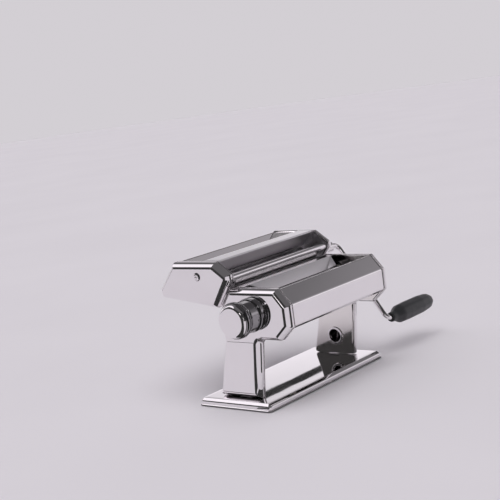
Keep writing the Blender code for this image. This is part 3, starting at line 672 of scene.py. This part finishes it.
def make_knob():
    """Thickness knob: grooved body, flared end with a rolled rim, and a flat disc set in it."""
    centre = axis_of("adjuster_knob")
    bore, pocket = 4.3, 8.6
    outer = [(-97.4, bore), (-97.4, 17.2), (-98.0, 18.0), (-101.8, 18.2), (-102.4, 17.4), (-102.6, 15.6),
             (-104.8, 15.5), (-105.2, 17.4), (-106.2, 18.0), (-111.4, 18.0), (-112.3, 17.2), (-112.9, 15.4),
             (-115.2, 15.4), (-115.8, 17.1), (-123.3, 17.2), (-126.4, 17.3), (-127.0, 16.4), (-128.2, 16.4),
             (-128.8, 18.4), (-130.2, 19.0), (-131.6, 19.2), (-132.0, 18.5), (-132.5, 18.5), (-132.9, 19.2),
             (-134.8, 19.1), (-136.4, 18.6), (-137.6, 17.9)]
    inner = [(-137.6, pocket), (-112.2, pocket), (-112.2, bore)]
    profile = soften(outer + inner, 0.5, 3, closed=True)
    body = turned_ring(profile, centre, 128)
    # the knob's body takes the chrome darkened with painted shade
    knob = add_piece("adjuster_knob_skin", body, SHADED_CHROME, "adjuster_knob", sharp=50)
    low, _ = limits("knob_cap")
    cap = [(-137.9, 17.8), (-138.8, 17.3), (-139.7, 16.6), (-140.3, 15.9), (low.x, 14.9), (low.x, 14.0)]
    disc = add_piece("knob_cap_skin", turned(cap, centre, 128), CHROME, "knob_cap", sharp=50)
    keep_out_of_reflections(knob, disc)


def make_crank():
    """Bent rod from the fine cutter's socket down to the grip."""
    socket_axis, grip_axis = axis_of("fine_cutter_front"), axis_of("crank_grip")
    low, high = limits("crank_rod")
    arm_x, radius = 126.5, 3.0
    corners = [(low.x, *socket_axis), (arm_x, *socket_axis), (arm_x, *grip_axis), (high.x, *grip_axis)]
    add_piece("crank_rod_skin", tube(bend_route(corners, 8.0), radius), CHROME, "crank_rod", sharp=50)


def make_grip():
    """Grip with a short neck, a flared shoulder and a long, slightly faceted body."""
    low, high = limits("crank_grip")
    start, end, bore = low.x, high.x, 3.3
    outer = [(start, bore), (start, 4.9), (start + 0.8, 5.9), (start + 7.0, 6.4), (start + 9.0, 7.0),
             (start + 16.5, 10.3), (start + 19.5, 11.0), (start + 34.0, 11.4), (start + 62.0, 11.2),
             (start + 76.0, 10.2), (start + 83.0, 8.9), (start + 87.0, 7.0), (start + 89.5, 4.4), (end, 1.4)]
    inner = [(end - 3.0, 1.2), (end - 3.6, 4.6), (end - 11.6, 4.6), (end - 11.8, bore)]
    profile = soften(outer + inner, 1.0, 3, closed=True)
    centre = axis_of("crank_grip")
    facets, facet_depth, count = 8, 0.035, 96
    rings = []
    for x, radius in profile:
        depth = facet_depth if radius > 5.0 else 0.0
        ring = []
        for i in range(count):
            angle = 2 * math.pi * i / count
            reach = radius * (1 - depth * (0.5 - 0.5 * math.cos(facets * angle)))
            ring.append((x, centre[0] + reach * math.cos(angle), centre[1] + reach * math.sin(angle)))
        rings.append(ring)
    add_piece("crank_grip_skin", loft(rings, closed=True), PLASTIC, "crank_grip", sharp=50)


def make_cutter_bridge():
    """Sheet between the two feed slots, its front flange notched round at both ends."""
    half = CUTTER_PLATE_INNER
    path = [(33.4, 143.2), (26.4, 156.9), (48.0, 156.9), (73.0, 142.0)]
    bridge = add_piece("cutter_bridge_skin", bent_sheet(path, half), SATIN, "cutter_bridge", sharp=40)
    notch_reach, notch_height, notch_z, steps = 11.0, 12.0, 142.0, 16
    quarter = [math.pi / 2 * i / steps for i in range(steps + 1)]
    arc = [(notch_reach * math.cos(angle), notch_height * math.sin(angle)) for angle in quarter]
    notch = [(0.0, -3.0), (notch_reach, -3.0)] + arc + [(0.0, notch_height)]
    for side in (-1, 1):
        rings = [[(side * (half + 1 - reach), y, notch_z + height) for reach, height in notch]
                 for y in (24.0, 40.0)]
        drill(bridge, loft(rings), "bridge_notch")


def make_cutter_rear_cover():
    """Folded sheet behind the wide cutters, lapping the side plates."""
    skin = inset(CAP_OUTLINE, RIM_LAP + SHEET / 2)
    path = [(81.5, 148.0), skin[6], skin[5], skin[4], (100.5, 114.8)]
    cover = bent_sheet(path, CUTTER_PLATE_INNER + 1.6)
    add_piece("cutter_rear_cover_skin", cover, CHROME, "cutter_rear_cover", sharp=40)


def grooved(half, land, groove, crest, root):
    """(x, radius) profile of a roller with square rings."""
    pitch = land + groove
    count = int(2 * half / pitch)
    start = -count * pitch / 2
    profile = []
    for ring in range(count):
        x = start + ring * pitch
        profile += [(x, root), (x + 0.1, crest - 0.12), (x + 0.22, crest), (x + land - 0.22, crest),
                    (x + land - 0.1, crest - 0.12), (x + land, root)]
    return profile


def make_cutters():
    """Ring-grooved cutter rollers, with a pitch of 2 mm for the fine pair and 6.5 mm for the wide pair."""
    half, end_land, crest, root, journal = ROLLER_HALF, 1.2, 7.85, 7.1, 3.5
    for node, land, groove in (("fine_cutter_front", 1.5, 0.5), ("fine_cutter_rear", 1.5, 0.5),
                               ("wide_cutter_front", 5.7, 0.8), ("wide_cutter_rear", 5.7, 0.8)):
        low, high = limits(node)
        profile = [(low.x, journal), (-half, journal), (-half, crest)]
        profile += grooved(half - end_land, land, groove, crest, root)
        profile += [(half, crest), (half, journal)]
        if high.x > 100:
            profile += [(86.6, journal), (86.6, 7.0), (high.x - 1.2, 7.0), (high.x - 0.5, 6.7), (high.x, 6.0),
                        (high.x, 3.8), (high.x - 0.4, 3.3), (90.0, 3.3)]
        else:
            profile += [(high.x, journal)]
        add_piece(node + "_skin", turned(profile, axis_of(node), 64), ALLOY, node, sharp=45)


def make_cutter_rods():
    """Plain tie rod, and the bright rod with chamfered ends along the attachment's front edge."""
    low, high = limits("cutter_tie_rod")
    rod = turned([(low.x, 3.2), (high.x, 3.2)], axis_of("cutter_tie_rod"), 48)
    add_piece("cutter_tie_rod_skin", rod, STEEL, "cutter_tie_rod")
    low, high = limits("cutter_front_rod")
    radius, chamfer = 3.55, 0.5
    profile = [(low.x, radius - chamfer), (low.x + chamfer, radius),
               (high.x - chamfer, radius), (high.x, radius - chamfer)]
    rod = turned(profile, axis_of("cutter_front_rod"), 64)
    add_piece("cutter_front_rod_skin", rod, CHROME, "cutter_front_rod")


def make_cap_screws():
    """Pan-head screws with a cross recess."""
    y, z = axis_of("cutter_tie_rod")
    shank, head_height, recess_length, recess_width, recess_depth = 2.0, 2.6, 4.2, 1.0, 0.9
    for end, side in (("left", -1), ("right", 1)):
        node = f"cap_screw_{end}"
        inner, outer = faces_of(node, side)
        head = outer - side * head_height
        profile = [(inner, shank), (head, shank), (head, 4.0), (outer - side * 0.5, 3.8),
                   (outer - side * 0.15, 3.2), (outer, 2.2)]
        screw = add_piece(node + "_skin", turned(profile, (y, z), 64), CHROME, node, sharp=50)
        for wide, tall in ((recess_length, recess_width), (recess_width, recess_length)):
            slot = [(y - wide / 2, z - tall / 2), (y + wide / 2, z - tall / 2),
                    (y + wide / 2, z + tall / 2), (y - wide / 2, z + tall / 2)]
            recess = loft([at_x(slot, outer - side * recess_depth), at_x(slot, outer + side)])
            drill(screw, recess, "cross_recess")


def finish_cad_nodes():
    """CAD nodes that stay get the finer material of their slot."""
    by_slot = {slot: material for material, slot in SLOTS.items()}
    slots = {entry["node"]: entry["material_slot"] for entry in frame["record"]["subparts"]}
    for name, node in frame["nodes"].items():
        node.data.materials.clear()
        finish = BRIGHT_STEEL if name.endswith("frame_plate") else by_slot[slots[name]]
        node.data.materials.append(finish)
        node.data.shade_smooth()
        node.data.set_sharp_from_angle(angle=math.radians(35))
    inside_knob = ("adjuster_spindle", "spindle_screw", "adjuster_spring", "index_pin")
    keep_out_of_reflections(*(frame["nodes"][name] for name in inside_knob))


# ---------------------------------------------------------------- studio

FLOOR_RADIUS = 9.0
FLOOR_TONE, PALE, DARK = 0.65, 0.94, 0.12


def make_floor():
    made = Nodes("pale_floor")
    tint = made.ramp(made.noise(3.0, 2.0), (0.3, (0.76, 0.73, 0.77)), (0.7, (0.78, 0.75, 0.79)))
    made.link(tint, made.shader.inputs["Base Color"])
    made.shader.inputs["Roughness"].default_value = 0.85
    made.shader.inputs["Specular IOR Level"].default_value = 0.1
    bpy.ops.mesh.primitive_circle_add(vertices=96, radius=FLOOR_RADIUS, fill_type="NGON")
    floor = bpy.context.object
    floor.name = "floor"
    floor.data.materials.append(made.material)


def add_stops(ramp, stops):
    """Set (position, brightness) stops, all in the floor's faintly violet grey."""
    elements = ramp.color_ramp.elements
    while len(elements) < len(stops):
        elements.new(0.5)
    for element, (position, value) in zip(elements, stops):
        element.position = position
        element.color = (value, value * 0.958, value * 1.01, 1.0)


def make_world():
    """Surroundings: the floor's tone at the horizon, pale above it, then dark, and pale again overhead."""
    world = bpy.data.worlds.new("studio")
    bpy.context.scene.world = world
    world.use_nodes = True
    tree = world.node_tree
    direction = tree.nodes.new("ShaderNodeTexCoord")
    split = tree.nodes.new("ShaderNodeSeparateXYZ")
    around = tree.nodes.new("ShaderNodeValToRGB")
    tilted = tree.nodes.new("ShaderNodeVectorMath")
    overhead = tree.nodes.new("ShaderNodeValToRGB")
    both = tree.nodes.new("ShaderNodeVectorMath")
    background = tree.nodes["Background"]
    tree.links.new(direction.outputs["Generated"], split.inputs[0])
    tree.links.new(split.outputs["Z"], around.inputs["Fac"])
    add_stops(around, [(0.0, FLOOR_TONE), (0.10, FLOOR_TONE), (0.15, PALE), (0.24, PALE),
                       (0.33, 0.38), (0.46, 0.30), (0.56, 0.16), (0.68, DARK)])
    tilted.operation = "DOT_PRODUCT"
    tilted.inputs[1].default_value = (-0.35, 0.62, 0.70)
    tree.links.new(direction.outputs["Generated"], tilted.inputs[0])
    tree.links.new(tilted.outputs["Value"], overhead.inputs["Fac"])
    add_stops(overhead, [(0.87, 0.0), (0.92, 1.05)])
    both.operation = "MAXIMUM"
    tree.links.new(around.outputs["Color"], both.inputs[0])
    tree.links.new(overhead.outputs["Color"], both.inputs[1])
    tree.links.new(both.outputs["Vector"], background.inputs["Color"])
    background.inputs["Strength"].default_value = 1.0


def add_card(name, shape, value):
    """A plain card that only shows in reflections, as a studio flag or reflector does."""
    card = add_object(name, mesh_from(name, shape))
    made = Nodes(name)
    made.shader.inputs["Base Color"].default_value = (0.0, 0.0, 0.0, 1.0)
    made.shader.inputs["Specular IOR Level"].default_value = 0.0
    made.shader.inputs["Emission Color"].default_value = (value, value * 0.98, value, 1.0)
    made.shader.inputs["Emission Strength"].default_value = 1.0
    card.data.materials.append(made.material)
    card.visible_camera = False
    card.visible_diffuse = False
    card.visible_shadow = False


def flat_card(*corners, height=2.0):
    """Level card just above the floor."""
    return [(x, y, height) for x, y in corners], [tuple(range(len(corners)))]


def sector(start, start_angle, end, end_angle):
    """Level card that widens from one side of the machine, between two directions in degrees from +X."""
    reach = 5000.0
    first, last = math.radians(start_angle), math.radians(end_angle)
    return flat_card(start, (start[0] + reach * math.cos(first), start[1] + reach * math.sin(first)),
                     (end[0] + reach * math.cos(last), end[1] + reach * math.sin(last)), end)


def wall(start, end, radius, low, high, steps=24):
    """Standing arc round the machine, between two angles in degrees from +X."""
    angles = [math.radians(start + (end - start) * i / steps) for i in range(steps + 1)]
    points = [(radius * math.cos(a), radius * math.sin(a), z) for a in angles for z in (low, high)]
    faces = [(2 * i, 2 * i + 2, 2 * i + 3, 2 * i + 1) for i in range(steps)]
    return points, faces


def make_dark_cards():
    """Flags on the camera's side and one bar behind, which draw the dark lines along the metal's edges, and a
    dark card under the base, which is painted shade for the gap below the rim.
    """
    add_card("flag_left", sector((-112.0, -12.0), 155, (-118.0, -45.0), 227), 0.035)
    add_card("flag_right", sector((-100.0, -85.0), 261, (-60.0, -80.0), 300), 0.035)
    add_card("flag_round", wall(122, 300, 1200.0, 60.0, 1300.0), 0.04)
    bar_start, bar_end, bar_y, bar_low, bar_high = 150.0, 320.0, 200.0, 95.0, 105.0
    bar = [(bar_start, bar_y, bar_low), (bar_end, bar_y, bar_low),
           (bar_end, bar_y, bar_high), (bar_start, bar_y, bar_high)]
    add_card("bar_behind", (bar, [(0, 1, 2, 3)]), 0.03)
    # the dark card under the base is painted shade: it puts the shadow of the gap below the rim into the
    # rim's reflection
    half_length, front, rear = 113.0, -42.0, 70.0
    under = [(-half_length, front), (half_length, front), (half_length, rear), (-half_length, rear)]
    add_card("painted_shade_under_base", flat_card(*under, height=0.4), 0.06)


def make_bright_cards():
    """Reflectors round the machine, which put the bright lines on rods, knob and bevels."""
    add_card("strip_right", wall(24, 42, 1500.0, 600.0, 1250.0, 6), 0.9)
    add_card("window", wall(199, 212, 1100.0, 620.0, 830.0, 4), 2.4)
    add_card("strip", wall(232, 238, 1100.0, 120.0, 420.0, 2), 0.8)


def make_sun():
    """Very soft light from above, which doesn't show in reflections."""
    light = bpy.data.lights.new("overhead", "SUN")
    light.energy = 1.74
    light.angle = math.radians(60)
    lamp = add_object("overhead", light)
    lamp.location = (-0.6, -0.5, 2.0)
    lamp.rotation_euler = (-lamp.location).to_track_quat("-Z", "Y").to_euler()
    lamp.visible_glossy = False


def make_camera():
    """Camera at the machine's left front, 8.8 degrees above the horizon and slightly rolled."""
    azimuth, elevation, roll = math.radians(-49.475), math.radians(8.807), math.radians(-7.816)
    distance, aim = 1238.9 * MM, Vector((-63.58, -1.27, 164.46)) * MM + ORIGIN
    back = Vector((math.sin(azimuth) * math.cos(elevation), -math.cos(azimuth) * math.cos(elevation),
                   math.sin(elevation)))
    right = Vector((0, 0, 1)).cross(back).normalized()
    up = back.cross(right)
    tilted_right = right * math.cos(roll) + up * math.sin(roll)
    tilted_up = up * math.cos(roll) - right * math.sin(roll)
    camera = bpy.data.cameras.new("camera")
    camera.sensor_width = 36.0
    camera.lens = 84.04
    camera.clip_start, camera.clip_end = 0.05, 50.0
    holder = add_object("camera", camera)
    pose = Matrix((tilted_right, tilted_up, back)).transposed().to_4x4()
    pose.translation = aim + back * distance
    holder.matrix_world = pose
    bpy.context.scene.camera = holder
    bpy.context.scene.view_settings.view_transform = "Standard"


make_base()
make_end_covers()
make_head_sheets()
make_feed_guard()
make_clamp_bush()
make_smooth_rollers()
make_knob()
make_crank()
make_grip()
make_cutter_caps()
make_cutter_bridge()
make_cutter_rear_cover()
make_cutters()
make_cap_screws()
make_cutter_rods()
finish_cad_nodes()
make_floor()
make_world()
make_dark_cards()
make_bright_cards()
make_sun()
make_camera()
